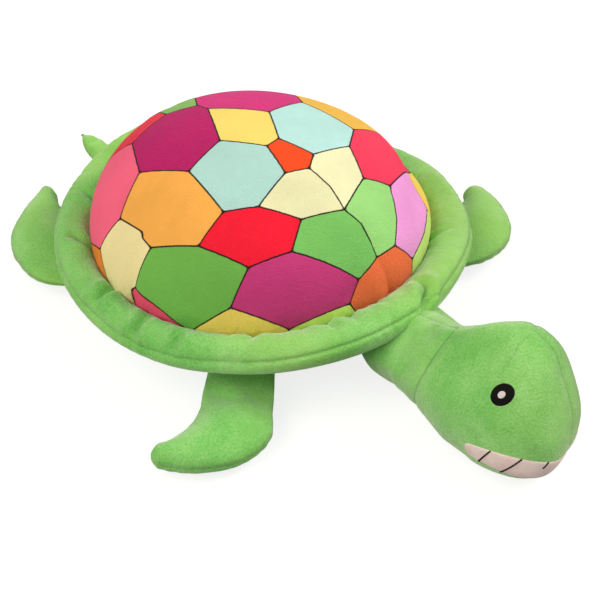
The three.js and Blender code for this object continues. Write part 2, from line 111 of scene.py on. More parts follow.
# White paper: a matt sheet. The camera sees it as white, and the cloth gets only a soft grey bounce from it.
paper = bpy.data.materials.new("white_paper")
paper.use_nodes = True
paper.node_tree.nodes.clear()
path = node(paper, "ShaderNodeLightPath").outputs
matt = node(paper, "ShaderNodeBsdfDiffuse", {"Color": linear("#9c9c9c")})
glow = node(paper, "ShaderNodeEmission", {"Color": (1, 1, 1, 1), "Strength": 0.8})
lit = node(paper, "ShaderNodeAddShader", {0: matt.outputs[0], 1: glow.outputs[0]})
sheet = node(paper, "ShaderNodeMixShader", {0: path["Is Camera Ray"], 1: matt.outputs[0], 2: lit.outputs[0]})
node(paper, "ShaderNodeOutputMaterial", {"Surface": sheet.outputs[0]})

PAPER_REACH, PAPER_DROP = 4, 0.0006
paper_corners = [(x * PAPER_REACH, y * PAPER_REACH, 0) for x, y in ((-1, -1), (1, -1), (1, 1), (-1, 1))]
floor_mesh = bpy.data.meshes.new("floor")
floor_mesh.from_pydata(paper_corners, [], [(0, 1, 2, 3)])
floor_mesh.materials.append(paper)
floor = bpy.data.objects.new("floor", floor_mesh)
floor.location.z = -PAPER_DROP
scene.collection.objects.link(floor)


# Dome: one printed cover of short plush, cut flat, darted round its foot and sewn to the rim. Thin black
# lines part its plain patches. They are drawn in mm over the cloth from the dome's top, with y to the tail.

MM = 0.001
FOOT, DOME_EDGE = 189.0, 196.0  # the way over the cloth from the top to the seam, and to the cut edge
corner = {
    "a": (4, 62), "b": (30, 17), "c": (71, 17), "d": (-27, 17), "e": (-9, -17), "f": (5, -17),
    "g": (11, -49), "h": (-4, -58), "i": (-22, -49), "j": (46, -57), "k": (73, -39), "l": (112, -42),
    "m": (103, -89), "n": (48, -105), "o": (27, -90), "p": (-11, -104), "q": (-45, -88), "r": (-60, -56),
    "s": (-80, -37), "t": (-66, 14), "u": (-83, 57), "v": (-55, 98), "w": (-13, 97), "x": (6, 77),
    "y": (25, 101), "z": (94, 49), "A": (-123, 48), "B": (-125, 17), "C": (-129, 15), "D": (-132, 0),
    "E": (-167, 5), "F": (-171, 11), "G": (-176, -66), "H": (-112, -38), "I": (-101, -83), "J": (-134, -90),
    "K": (-69, -101), "L": (-36, -156), "M": (-53, -169), "N": (-113, -146), "O": (-9, -151),
    "P": (15, -151), "Q": (31, -133), "R": (38, -170), "S": (73, -151), "T": (104, -128), "U": (-5, -82),
    "V": (-6, -121), "W": (-95, 130), "X": (-151, 68), "Y": (137, -76), "Z": (165, -60), "0": (140, -8),
    "1": (120, 38), "2": (160, 40), "3": (112, 104), "4": (80, 84), "5": (95, 140), "6": (40, 135),
    "7": (5, 145), "8": (-30, 160), "9": (-70, 135),
}
outlines = ("axy4zcba bfeda ckjgf z10lk xwvutd tsrie ghi rqpUh jop lYmno nQPOVp OLKq KIHs HDCBAu IJGED LMNJ "
            "EF XA PR mTSR YZ0 12 34 356y 67w 789v 9W").split()
to_foot = [
    ("F", (-200, 8)), ("X", (-200, 32)), ("G", (-188, -70)), ("N", (-124, -157)), ("M", (-44, -195)),
    ("R", (42, -195)), ("T", (127, -161)), ("Z", (192, -72)), ("2", (195, 52)), ("3", (150, 134)),
    ("5", (110, 168)), ("7", (8, 200)), ("8", (-42, 200)), ("W", (-118, 165)), ("X", (-145, 132)),
]
# The dyes are the print's, but a few patches low on the dome's front are set lighter, painted light that
# makes up for the shade they lie in.
patches = [  # a dye, and a place in the patch
    ("#da3482", 45, 50), ("#fde176", 0, 15), ("#bfece8", 45, -15), ("#f9c352", 100, 5), ("#bd1f69", -35, 60),
    ("#b4dfd8", -50, -10), ("#fd5022", -4, -38), ("#f0edbd", -30, -75), ("#f7f5c6", 18, -75),
    ("#fe4062", 80, -65), ("#a3e386", 20, -120), ("#80cb69", -35, -125), ("#fe2039", -80, -70),
    ("#ffb555", -95, 10), ("#76bb52", -130, -45), ("#d04083", -80, -135), ("#f7e8aa", -155, 40),
    ("#ee5472", -181, -20), ("#fddd6c", -145, -115), ("#ecff88", -85, -166), ("#ff7849", -10, -172),
    ("#fda6ea", 55, -130), ("#d3ee86", 76, -165), ("#fbd85f", 120, -110), ("#b8357a", 135, -40),
    ("#b9e6df", 165, 0), ("#86c860", 135, 80), ("#fb9d4a", 65, 115), ("#f23a4c", 118, 130),
    ("#8dc46a", 10, 115), ("#f0364f", -30, 125), ("#f3f0c2", 50, 165), ("#9fce55", -15, 174),
    ("#bde7e2", -65, 160), ("#ff6a8a", -105, 95), ("#f08a2c", -168, 78),
]
DART_WIDTH = 5.0
darts = [  # a depth, and a line up from the foot
    (2.0, [(-1, -189), (-9, -151), (-6, -121), (-11, -106)]), (3.4, [(6, 189), (9, 150), (12, 108)]),
    (3.6, [(-189, 9), (-160, 9), (-128, 15), (-106, 16)]), (2.6, [(189, 6), (150, 2), (112, -4)]),
]


def gap_to(places, pieces):
    """The distance of each flat place to the nearest of the straight pieces."""
    best = np.full(len(places), 1e9)
    for a, b in pieces:
        a, run = np.array(a, float), np.subtract(b, a).astype(float)
        share = np.clip(((places - a) @ run) / max(run @ run, 1e-9), 0, 1)
        best = np.minimum(best, np.linalg.norm(places - a - share[:, None] * run, axis=1))
    return best


def at_foot(a, b):
    """The place where the way from a to b leaves the cover."""
    low, high = 0.0, 1.0
    for _ in range(40):
        mid = (low + high) / 2
        spot = (a[0] + (b[0] - a[0]) * mid, a[1] + (b[1] - a[1]) * mid)
        low, high = (mid, high) if math.hypot(*spot) < DOME_EDGE else (low, mid)
    return spot


printed = [(corner[a], corner[b]) for chain in outlines for a, b in zip(chain, chain[1:])]
printed += [(corner[name], at_foot(corner[name], end)) for name, end in to_foot]

# The cloth's points follow the lines, with a row close to each side, and then fill the patches evenly.
STEP, BESIDE, CLEAR_OF_LINES, CLEAR_OF_EDGE = 4.0, 1.5, 3.4, 2.2
EDGE_POINTS, EDGE_GAP, ON_EDGE = 308, 0.008, DOME_EDGE - 0.01
flat, index, line_edges, rows = [], {}, [], []


def flat_point(spot):
    """The number of a place of the flat cloth, which is added if it is new."""
    spot = (round(spot[0], 3), round(spot[1], 3))
    if spot not in index:
        index[spot] = len(flat)
        flat.append(spot)
    return index[spot]


for a, b in printed:
    count = max(1, round(math.dist(a, b) / STEP))
    run = np.subtract(b, a) / math.dist(a, b)
    spots = [np.add(a, np.subtract(b, a) * i / count) for i in range(count + 1)]
    on_line = [flat_point(spot) for spot in spots]
    line_edges += list(zip(on_line, on_line[1:]))
    rows += [spot + side * BESIDE * np.array((-run[1], run[0])) for spot in spots for side in (-1, 1)]
line_ends = [math.atan2(y, x) for x, y in flat if math.hypot(x, y) > ON_EDGE]
for turn in np.linspace(-math.pi, math.pi, EDGE_POINTS, endpoint=False):
    if all(abs(math.remainder(turn - other, math.tau)) > EDGE_GAP for other in line_ends):
        flat_point((DOME_EDGE * math.cos(turn), DOME_EDGE * math.sin(turn)))
edge = sorted((i for i, spot in enumerate(flat) if math.hypot(*spot) > ON_EDGE),
              key=lambda i: math.atan2(flat[i][1], flat[i][0]))
cut_edge = list(zip(edge, edge[1:] + edge[:1]))
rows = np.array(rows)
rows = rows[(gap_to(rows, printed) > 0.9 * BESIDE) & (np.hypot(*rows.T) < DOME_EDGE - 1)]
grid = np.array([(STEP * (i + 0.5 * (j % 2)), STEP * 0.866 * j)
                 for i in range(-51, 52) for j in range(-60, 61)])
grid = grid[(gap_to(grid, printed) > CLEAR_OF_LINES) & (np.hypot(*grid.T) < DOME_EDGE - CLEAR_OF_EDGE)]
flat += [tuple(spot) for spot in np.vstack([rows, grid])]
cut, cut_edges, cut_faces, _, came_from, _ = delaunay_2d_cdt(
    [Vector(spot) for spot in flat], line_edges + cut_edge, [], 0, 1e-5)
cut = np.array([tuple(spot) for spot in cut])

# Each patch takes its dye from a place inside it, up to the lines round it.
barrier = {frozenset(side) for side, source in zip(cut_edges, came_from)
           if any(s < len(line_edges) for s in source)}
beside = {}
for f, face in enumerate(cut_faces):
    for a, b in zip(face, face[1:] + face[:1]):
        beside.setdefault(frozenset((a, b)), []).append(f)
middles = np.array([cut[list(face)].mean(axis=0) for face in cut_faces])
dyed = [None] * len(cut_faces)
for code, x, y in patches:
    todo = [int(np.argmin(np.hypot(middles[:, 0] - x, middles[:, 1] - y)))]
    while todo:
        f = todo.pop()
        if dyed[f] is None:
            dyed[f] = linear(code)
            face = cut_faces[f]
            for a, b in zip(face, face[1:] + face[:1]):
                if frozenset((a, b)) not in barrier:
                    todo += [n for n in beside[frozenset((a, b))] if n != f]
if None in dyed:
    raise ValueError("a patch of the print has no dye")

# The stuffed outline of the dome, from its top to its foot behind the rim. The way on the cloth follows it.
DOME_RADIUS, DOME_RISE, DOME_BASE, SQUARED = 140.8, 93.2, 64.0, 0.92
TUCKED_RADIUS, TUCKED_HEIGHT = 140.4, 57.0
rise = np.radians(np.linspace(90, 0, 400))
outline_r = DOME_RADIUS * np.maximum(np.cos(rise), 0) ** SQUARED
outline_z = DOME_BASE + DOME_RISE * np.maximum(np.sin(rise), 0) ** SQUARED
outline_way = np.concatenate([[0], np.cumsum(np.hypot(np.diff(outline_r), np.diff(outline_z)))])
outline_way *= FOOT / outline_way[-1]
outline_way = np.append(outline_way, DOME_EDGE)
outline_r = np.append(outline_r, TUCKED_RADIUS)
outline_z = np.append(outline_z, TUCKED_HEIGHT)

RIM_RADIUS, RIM_HEIGHT, SADDLE = 157, 60, 8
SLACK, SLACK_WAY, SLACK_TURN = 8.0, (146, 17), (-32, 30)  # a depth, and a middle and spread each way


def saddle(x, y, z):
    """How far the shell's bend lifts a place: the rim is higher at the head and tail."""
    return SADDLE * np.clip(z / RIM_HEIGHT, 0, 1) * (y * y - x * x) / RIM_RADIUS**2


def over_dome(spots):
    """Places of the flat cover on the stuffed dome. The stuffing is slack at the left shoulder."""
    spots = np.asarray(spots, float)
    way, turn = np.hypot(*spots.T), np.arctan2(spots[:, 1], spots[:, 0])
    r, z = np.interp(way, outline_way, outline_r), np.interp(way, outline_way, outline_z)
    off_way = (way - SLACK_WAY[0]) / SLACK_WAY[1]
    off_turn = (np.degrees(turn) - SLACK_TURN[0]) / SLACK_TURN[1]
    slack = SLACK * np.exp(-(off_way**2) - off_turn**2)
    r, z = r - 0.65 * slack, z - 0.75 * slack
    x, y = r * np.cos(turn), r * np.sin(turn)
    return np.column_stack([x, y, z + saddle(x, y, z)])


def cloth_piece(name, places, faces, material):
    """A new piece of cloth from places in mm."""
    mesh = bpy.data.meshes.new(name)
    mesh.from_pydata(np.asarray(places) * MM, [], faces)
    mesh.materials.append(material)
    mesh.shade_smooth()
    piece = bpy.data.objects.new(name, mesh)
    scene.collection.objects.link(piece)
    return piece


def places_of(mesh):
    """The places of a cloth's points, in mm."""
    across = np.empty(len(mesh.vertices) * 3)
    mesh.vertices.foreach_get("co", across)
    return across.reshape(-1, 3) / MM


def set_places(mesh, places):
    """Moves a cloth's points to places in mm."""
    mesh.vertices.foreach_set("co", (np.asarray(places) * MM).ravel())
    mesh.update()


def press_out(piece, held, spare, most):
    """Lets the stuffing press the cloth out. Held places stay, the cloth has a spare share of length, and no
    place moves further than most, in mm."""
    rest = places_of(piece.data)
    group = piece.vertex_groups.new(name="sewn")
    for share in np.unique(held[held > 0]):
        group.add(np.nonzero(held == share)[0].tolist(), float(share), "REPLACE")
    cloth = piece.modifiers.new("stuffing", "CLOTH")
    cloth.settings.quality = 4
    cloth.settings.mass = 0.1
    cloth.settings.tension_stiffness = cloth.settings.compression_stiffness = 12
    cloth.settings.shear_stiffness = 6
    cloth.settings.bending_stiffness = 0.4
    cloth.settings.vertex_group_mass = "sewn"
    cloth.settings.use_pressure = True
    cloth.settings.uniform_pressure_force = 4
    cloth.settings.shrink_min = -spare
    cloth.settings.effector_weights.gravity = 0
    cloth.collision_settings.use_collision = False
    cloth.point_cache.frame_end = 20
    for step in range(1, cloth.point_cache.frame_end + 1):
        scene.frame_set(step)
    shaped = piece.evaluated_get(bpy.context.evaluated_depsgraph_get()).data
    move = places_of(shaped) - rest
    piece.modifiers.clear()
    piece.vertex_groups.clear()
    scene.frame_set(1)
    length = np.linalg.norm(move, axis=1, keepdims=True)
    print(f"{piece.name} pressed out by {length.mean():.2f} mm, at most {length.max():.2f}")
    set_places(piece.data, rest + move * np.minimum(1, most / np.maximum(length, 1e-6)))


def rounded(piece):
    """Subdivides the cloth once, for good."""
    piece.modifiers.new("round", "SUBSURF").levels = 1
    depsgraph = bpy.context.evaluated_depsgraph_get()
    mesh = bpy.data.meshes.new_from_object(piece.evaluated_get(depsgraph), preserve_all_data_layers=True,
                                           depsgraph=depsgraph)
    piece.modifiers.clear()
    old, piece.data = piece.data, mesh
    bpy.data.meshes.remove(old)
    mesh.name = piece.name
    mesh.shade_smooth()


def way_to(places, line):
    """The distance of each place to a line of points, and how far along the line that is."""
    line = np.asarray(line, float)
    best, along, start = np.full(len(places), 1e6), np.zeros(len(places)), 0.0
    for a, b in zip(line, line[1:]):
        run = b - a
        share = np.clip(((places - a) @ run) / max(run @ run, 1e-9), 0, 1)
        gap = np.linalg.norm(places - a - share[:, None] * run, axis=1)
        near = gap < best
        best[near], along[near] = gap[near], start + share[near] * np.linalg.norm(run)
        start += np.linalg.norm(run)
    return best, along / start


def outward(mesh):
    """The way out of the cloth at each of its points."""
    ways = np.empty(len(mesh.vertices) * 3)
    mesh.vertex_normals.foreach_get("vector", ways)
    return ways.reshape(-1, 3)


def surface_of(piece):
    """The cloth as it lies, to find places on it."""
    return BVHTree.FromPolygons([v.co.copy() for v in piece.data.vertices],
                                [tuple(p.vertices) for p in piece.data.polygons])


def laid(surface, line):
    """A line of points, laid onto a cloth with a point every 2.5 mm."""
    line = np.asarray(line, float)
    steps = np.concatenate([[0], np.cumsum(np.linalg.norm(np.diff(line, axis=0), axis=1))])
    way = np.linspace(0, steps[-1], max(2, int(steps[-1] / 2.5)))
    close = np.column_stack([np.interp(way, steps, line[:, i]) for i in range(3)])
    return np.array([tuple(surface.find_nearest(Vector(spot * MM))[0]) for spot in close]) / MM


def creased(piece, creases):
    """Sinks soft creases into the cloth, each with a lip beside it. A crease is a line, its depth, its width
    and whether it fades at both ends. Else it is deepest at its first point and fades out to its last one."""
    places, inward, surface = places_of(piece.data), 0.0, surface_of(piece)
    for line, deep, wide, both in creases:
        gap, along = way_to(places, laid(surface, line))
        fade = np.sin(math.pi * along) if both else np.clip(1 - along, 0, 1) ** 0.6
        lip = 0.42 * np.exp(-(((gap - 2.6 * wide) / (1.5 * wide)) ** 2))
        inward = inward + deep * fade * (np.exp(-gap / wide) - lip)
    set_places(piece.data, places - outward(piece.data) * inward[:, None])


# Printed plush: a short velvety nap that lies in patches, lighter where it is brushed up. The ink of the
# lines has bled a little into the nap. Its fibres are too fine to show, so the grain is drawn at 1.6 mm.
CRUSHED, STROKED, GRAIN = 41.67, 7.692, 1.613  # sizes in mm of the nap's patches, strokes and grain


def plush_nodes(name):
    """A new plush with its nap: how it lies, from 0 crushed to 1 brushed up, and its fine grain."""
    cloth = bpy.data.materials.new(name)
    cloth.use_nodes = True
    cloth.node_tree.nodes.clear()
    spot = node(cloth, "ShaderNodeTexCoord").outputs["Object"]
    drawn = node(cloth, "ShaderNodeMapping",
                 {"Vector": spot, "Scale": (1, 1, 0.45), "Rotation": (0.5, 0.3, 0.8)}).outputs[0]
    crushed = node(cloth, "ShaderNodeTexNoise",
                   {"Vector": spot, "Scale": 1 / (CRUSHED * MM), "Detail": 2, "Roughness": 0.45})
    stroked = node(cloth, "ShaderNodeTexNoise", {"Vector": drawn, "Scale": 1 / (STROKED * MM), "Detail": 2})
    grain = node(cloth, "ShaderNodeTexNoise",
                 {"Vector": spot, "Scale": 1 / (GRAIN * MM), "Detail": 3, "Roughness": 0.65})
    lie = node(cloth, "ShaderNodeMix", {0: 0.25, 2: crushed.outputs["Fac"], 3: stroked.outputs["Fac"]})
    return cloth, spot, lie.outputs[0], grain.outputs["Fac"]


def plush_surface(cloth, dye, lie, grain, sheen, tint):
    """Finishes a plush: painted shade darkens it near its seams, and it has a rough nap and a soft sheen."""
    seam = node(cloth, "ShaderNodeAttribute", attribute_name="seam").outputs["Fac"]
    # Painted shade in the seams: the dye is darkened to 0.78 within 0.2 mm of a seam, fading out by 1.4 mm.
    crease = node(cloth, "ShaderNodeMapRange", {0: seam, 1: 0.2 * MM, 2: 1.4 * MM, 3: 0.78, 4: 1.0})
    dye = node(cloth, "ShaderNodeVectorMath", {0: dye, 3: crease.outputs[0]}, operation="SCALE").outputs[0]
    waves = node(cloth, "ShaderNodeBump", {"Height": lie, "Strength": 0.4, "Distance": 2.5 * MM})
    fine = node(cloth, "ShaderNodeBump",
                {"Height": grain, "Normal": waves.outputs[0], "Strength": 0.75, "Distance": 1.6 * MM})
    surface = node(cloth, "ShaderNodeBsdfPrincipled", {
        "Base Color": dye, "Normal": fine.outputs[0], "Roughness": 0.95, "Specular IOR Level": 0.15,
        "Sheen Weight": sheen, "Sheen Roughness": 0.3, "Sheen Tint": linear(tint)})
    node(cloth, "ShaderNodeOutputMaterial", {"Surface": surface.outputs[0]})


printed_plush, _, lie, grain = plush_nodes("printed_plush")
dye = node(printed_plush, "ShaderNodeAttribute", attribute_name="print").outputs["Color"]
shade = node(printed_plush, "ShaderNodeMapRange", {0: lie, 1: 0.3, 2: 0.7, 3: 0.93, 4: 1.06})
dye = node(printed_plush, "ShaderNodeVectorMath", {0: dye, 3: shade.outputs[0]},
           operation="SCALE").outputs[0]
gap = node(printed_plush, "ShaderNodeAttribute", attribute_name="line").outputs["Fac"]
bled = node(printed_plush, "ShaderNodeMath", {0: grain, 1: 0.4 * MM, 2: gap}, operation="MULTIPLY_ADD")
ink = node(printed_plush, "ShaderNodeMapRange", {0: bled.outputs[0], 1: 0.6 * MM, 2: 1.05 * MM, 3: 1, 4: 0})
dye = node(printed_plush, "ShaderNodeMix", {0: ink.outputs[0], 6: dye, 7: linear("#241a1c")},
           data_type="RGBA")
plush_surface(printed_plush, dye.outputs[2], lie, grain, 0.1, "#fff6f0")

NO_SEAM_NEAR = 50
dome = cloth_piece("dome_fabric", over_dome(cut), cut_faces, printed_plush)
corner_dyes = np.array([dyed[f] for f, face in enumerate(cut_faces) for _ in face], np.float32)
dome.data.attributes.new("print", "FLOAT_COLOR", "CORNER").data.foreach_set("color", corner_dyes.ravel())
for name, gaps in (("line", gap_to(cut, printed)), ("seam", np.full(len(cut), NO_SEAM_NEAR))):
    marked = dome.data.attributes.new(name, "FLOAT", "POINT")
    marked.data.foreach_set("value", (gaps * MM).astype(np.float32))
press_out(dome, np.where(np.hypot(*cut.T) > FOOT - 1, 1.0, 0.0), spare=0.01, most=3)
rounded(dome)
creased(dome, [(over_dome(line), deep, DART_WIDTH, False) for deep, line in darts])
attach(dome, "shell")
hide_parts("dome_cover", "body_stuffing")


# Rim: a plump stuffed tube of green plush round the dome's foot. Its upper band is gathered into the dome's
# seam, and a second seam runs round the outside.

# Green plush: the same nap in one dye. It lies in soft crushed patches, brighter where it stands up. Over a
# hand's breadth its colour drifts a little yellow at random, which is painted warm light.
WARM_LIGHT_SIZE = 142.86
green_plush, spot, lie, grain = plush_nodes("green_plush")
nap = node(green_plush, "ShaderNodeMix", {0: 0.47, 2: lie, 3: grain}).outputs[0]
ramp = node(green_plush, "ShaderNodeValToRGB", {"Fac": nap})
ramp.color_ramp.elements.new(0.5)
greens = [(0.34, "#68bb53"), (0.5, "#8cd271"), (0.66, "#aee593")]
for stop, (place, code) in zip(ramp.color_ramp.elements, greens):
    stop.position = place
    stop.color = linear(code)
# Painted warm light: a soft noise a hand's breadth across mixes up to half of a yellow green into the greens.
warm_light_noise = node(green_plush, "ShaderNodeTexNoise", {"Vector": spot, "Scale": 1 / (WARM_LIGHT_SIZE * MM), "Detail": 1})
warm_light_share = node(green_plush, "ShaderNodeMapRange", {0: warm_light_noise.outputs["Fac"], 1: 0.35, 2: 0.65, 3: 0.0, 4: 0.5})
dye = node(green_plush, "ShaderNodeMix", {0: warm_light_share.outputs[0], 6: ramp.outputs[0], 7: linear("#a3d563")},
           data_type="RGBA")
plush_surface(green_plush, dye.outputs[2], lie, grain, 1.0, "#fbffee")

TUBE_WIDE, TUBE_HIGH, OUTER_SEAM = 16, 13, 27  # half sizes of the tube, and the seam's angle round it
RIM_ROWS, RIM_COLUMNS = 29, 320
around = np.linspace(0, math.tau, RIM_COLUMNS, endpoint=False)
section = np.radians(np.linspace(176, -155, RIM_ROWS))


def on_rim(theta, phi):
    """A place on the rim, from the angle round its tube and the angle round the shell. It is stuffed
    unevenly: plumper, set aside or lifted near some angles, each a middle and a spread in degrees."""
    def near(middle, wide):
        off = np.remainder(phi - math.radians(middle) + math.pi, math.tau) - math.pi
        return np.exp(-((off / math.radians(wide)) ** 2))

    def over(middle, wide):
        return np.exp(-(((theta - math.radians(middle)) / math.radians(wide)) ** 2))

    plump = 3.2 * near(222, 60) * over(112, 48)
    plump += 4.2 * near(172, 36) * over(130, 42)
    plump += 3.4 * near(264, 30) * over(-70, 50)
    aside = 2 * np.cos(phi - math.radians(314)) - 3.6 * near(172, 26) - 2 * near(213, 10) - 2 * near(290, 12)
    lift = 3.5 * near(-20, 13) - 3 * near(7, 12) + 2.5 * near(86, 12) - 2.5 * near(110, 17)
    r = RIM_RADIUS + (TUBE_WIDE + plump) * np.cos(theta) + aside * (1 + np.cos(theta)) / 2
    z = RIM_HEIGHT + (TUBE_HIGH + plump) * np.sin(theta) + lift
    x, y = r * np.cos(phi), r * np.sin(phi)
    return np.stack([x, y, z + saddle(x, y, z)], axis=-1)


def rim_line(angles):
    """A line over the rim through pairs of angles, round the shell and round the tube, in degrees."""
    round_shell, round_tube = np.radians(np.asarray(angles, float)).T
    stops = range(len(angles))
    way = np.linspace(0, len(angles) - 1, 4 * (len(angles) - 1) + 1)
    return on_rim(np.interp(way, stops, round_tube), np.interp(way, stops, round_shell))


def grid_faces(count, columns):
    """Quads between rows of places, each row closed round."""
    near = np.arange(count * columns).reshape(count, columns)
    side = np.roll(near, -1, axis=1)
    return np.stack([near[:-1], side[:-1], side[1:], near[1:]], axis=-1).reshape(-1, 4).tolist()


def sewn(piece, seams, wide=2.2, pucker=0.3, reach=8.0):
    """Draws the cloth in along its seams, each a line and a depth, puckers it beside them and marks how far
    each place is from a seam."""
    places, surface = places_of(piece.data), surface_of(piece)
    nearest, inward = np.full(len(places), float(NO_SEAM_NEAR)), np.zeros(len(places))
    for i, (line, deep) in enumerate(seams):
        line = laid(surface, line)
        gap, along = way_to(places, line)
        along *= np.linalg.norm(np.diff(line, axis=0), axis=1).sum()
        nearest = np.minimum(nearest, gap)
        wave = np.sin(along / 1.9 + 2.0 * np.sin(along / 11.0 + i))
        wave *= 0.6 + 0.4 * np.sin(along / 17.0 + 2 * i)
        inward = np.maximum(inward, deep * np.exp(-((gap / wide) ** 2)))
        inward += pucker * wave * np.exp(-((gap / reach) ** 2)) * (1 - np.exp(-((gap / 2.0) ** 2)))
    set_places(piece.data, places - outward(piece.data) * inward[:, None])
    seam = piece.data.attributes.new("seam", "FLOAT", "POINT")
    seam.data.foreach_set("value", (nearest * MM).astype(np.float32))


rim_places = on_rim(*np.meshgrid(section, around, indexing="ij")).reshape(-1, 3)
rim = cloth_piece("rim_fabric", rim_places, grid_faces(RIM_ROWS, RIM_COLUMNS), green_plush)
rim.data.flip_normals()
row = np.repeat(np.arange(RIM_ROWS), RIM_COLUMNS)
seam_row = int(np.argmin(np.abs(section - math.radians(OUTER_SEAM))))
held = np.where((row < 2) | (row == RIM_ROWS - 1), 1.0, np.where(row == seam_row, 0.8, 0.0))
press_out(rim, held, spare=0.02, most=2)
rounded(rim)

# Each fold or gather is a line over the rim, its depth and its width. Folds fade at both ends, and gathers
# start in the dome's seam. The small ones are set one by one, at random, so they vary.
folds = [
    ([(145, 172), (142, 120), (139, 72)], 6.5, 3.4), ([(168.3, 150), (169, 98), (170, 46)], 7.0, 3.3),
    ([(187.8, 135), (186.8, 75), (186.2, 15)], 7.5, 3.3),
    ([(200.5, 110), (199.5, 66), (198.4, 22)], 6.0, 3.0),
    ([(277.5, 120), (276, 72), (272, 38), (268.5, -5)], 8.5, 3.4),
]
gathers = [
    ([(243, 165), (243, 120), (244, 80)], 3.4, 3.2), ([(251.5, 165), (251, 110), (250.5, 55)], 3.6, 3.2),
    ([(244.5, 95), (244, 60), (244, 25)], 2.0, 2.6), ([(222, 165), (221, 110), (219, 65)], 3.0, 3.2),
    ([(262, 165), (262, 120), (263, 85)], 2.2, 2.8), ([(305, 165), (306, 120), (308, 80)], 2.8, 3.2),
    ([(338, 165), (339, 120), (340, 65)], 3.2, 3.2), ([(120, 165), (119, 110), (117, 65)], 3.2, 3.2),
    ([(82, 165), (81, 115), (80, 70)], 3.0, 3.2), ([(46, 165), (47, 120), (48, 70)], 3.4, 3.2),
    ([(14, 165), (14, 110), (13, 60)], 3.0, 3.2),
]
by_hand = np.random.default_rng(5)
for start in range(3, 360, 9):
    at, depth = start + by_hand.uniform(-3, 3), by_hand.uniform(0.4, 1.2)
    gathers.append(([(at, 162), (at + by_hand.uniform(-2, 2), by_hand.uniform(85, 125))], depth, 2.4))
for at in np.arange(295, 323, 1.45):
    folds.append(([(at, 140), (at + by_hand.uniform(-0.5, 0.5), 92)], by_hand.uniform(0.5, 1.0), 1.2))
creased(rim, [(rim_line(angles), deep, wide, both) for group, both in ((folds, True), (gathers, False))
              for angles, deep, wide in group])
whole_turn = np.linspace(0, math.tau, RIM_COLUMNS + 1)
outer_seam = on_rim(np.full(RIM_COLUMNS + 1, math.radians(OUTER_SEAM)), whole_turn)
sewn(rim, [(outer_seam, 0.5)], wide=1.7, pucker=0.5)
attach(rim, "shell")
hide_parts("rim_upper_band", "rim_lower_band", "rim_divider", "rim_stuffing")


# Belly: one panel of green plush, flat in the middle where the pillow rests. Its edge is rounded up and
# drawn into the rim's lower seam in small pleats.

BELLY_FLAT, BELLY_CURVE, BELLY_HEIGHT = 92.5, 50, 54.5
rise = np.radians(np.linspace(90, 0, 15))
r = np.concatenate([BELLY_FLAT + BELLY_CURVE * np.sin(rise), [74, 54, 34, 14]])
z = np.concatenate([BELLY_HEIGHT * (1 - np.cos(rise)), [0, 0, 0, 0]])
x, y = np.outer(r, np.cos(around[::2])), np.outer(r, np.sin(around[::2]))
z = np.repeat(z[:, None], x.shape[1], axis=1)
places = np.vstack([np.stack([x, y, z + saddle(x, y, z)], axis=-1).reshape(-1, 3), [[0, 0, 0]]])
count, columns = x.shape
last = (count - 1) * columns
middle = [(last + k, last + (k + 1) % columns, count * columns) for k in range(columns)]
belly = cloth_piece("belly_fabric", places, grid_faces(count, columns) + middle, green_plush)
belly.data.flip_normals()
rounded(belly)
pleats = []
for at in np.radians(np.arange(0, 360, 11) + by_hand.uniform(-4, 4, 33)):
    ray = np.array((math.cos(at), math.sin(at), 0))
    pleats.append(([ray * 141 + (0, 0, 48), ray * 136 + (0, 0, 33)], by_hand.uniform(0.6, 1.5), 2.6, False))
creased(belly, pleats)
sewn(belly, [(places[:columns], 0.6)])
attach(belly, "shell")
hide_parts("belly_panel")


# Neck and head: two bags of green plush, each of a left and a right panel, sewn together round the nape. A
# seam runs over the neck, and another from the crown over the nose to the chin. Lines run forward and up.

SIDES, HEAD_RINGS, NECK_RINGS = 56, 42, 20
NECK_ROOT, NECK_TURN = Vector((-5, -172.2, 0)), -13
NAPE, HEAD_TURN, HEAD_TILT = Vector((0, -84, 48)), 28, 10
JOWL_START, JOWL_LENGTH = 66, 28
neck_place = Matrix.Translation(NECK_ROOT) @ Matrix.Rotation(math.radians(NECK_TURN), 4, "Z")
head_place = (neck_place @ Matrix.Translation(NAPE) @ Matrix.Rotation(math.radians(HEAD_TURN), 4, "Z")
              @ Matrix.Rotation(math.radians(HEAD_TILT), 4, "Y") @ Matrix.Translation(-NAPE))


def moved(matrix, places):
    """Places moved by a matrix."""
    m = np.array(matrix)
    return np.asarray(places, float) @ m[:3, :3].T + m[:3, 3]


def smooth_line(points, count):
    """A smooth line through points, at count even steps of the way from point to point."""
    points = np.asarray(points, float)
    points = points.reshape(len(points), -1)
    ends = np.vstack([2 * points[0] - points[1], points, 2 * points[-1] - points[-2]])
    way = np.linspace(0, len(points) - 1, count + 1)
    i = np.minimum(way.astype(int), len(points) - 2)
    f = (way - i)[:, None]
    a, b, c, d = ends[i], ends[i + 1], ends[i + 2], ends[i + 3]
    return b + 0.5 * f * (c - a + f * (2 * a - 5 * b + 4 * c - d + f * (3 * (b - c) + d - a)))


def side_rings(chin, crown, half_width, count, egg, full=0.0):
    """Rings from a chin line to a crown line. They are egg shaped, narrower above, and the jowls are full in
    front."""
    turns = np.linspace(0, math.tau, SIDES, endpoint=False)
    rings = []
    lines = (smooth_line(line, count) for line in (chin, crown, half_width))
    for low, high, (wide,) in zip(*lines):
        middle, half = (low + high) / 2, (low - high) / 2
        c, s = np.cos(turns), np.sin(turns)
        jowl = np.where(c > 0, 1 - full * np.clip((middle[0] - JOWL_START) / JOWL_LENGTH, 0, 1), 1)
        c, s = np.sign(c) * np.abs(c) ** jowl, np.sign(s) * np.abs(s) ** jowl * (1 + egg * np.minimum(c, 0))
        rings.append(np.column_stack([max(wide, 0) * s, -middle[0] - half[0] * c, middle[1] + half[1] * c]))
    return np.array(rings)


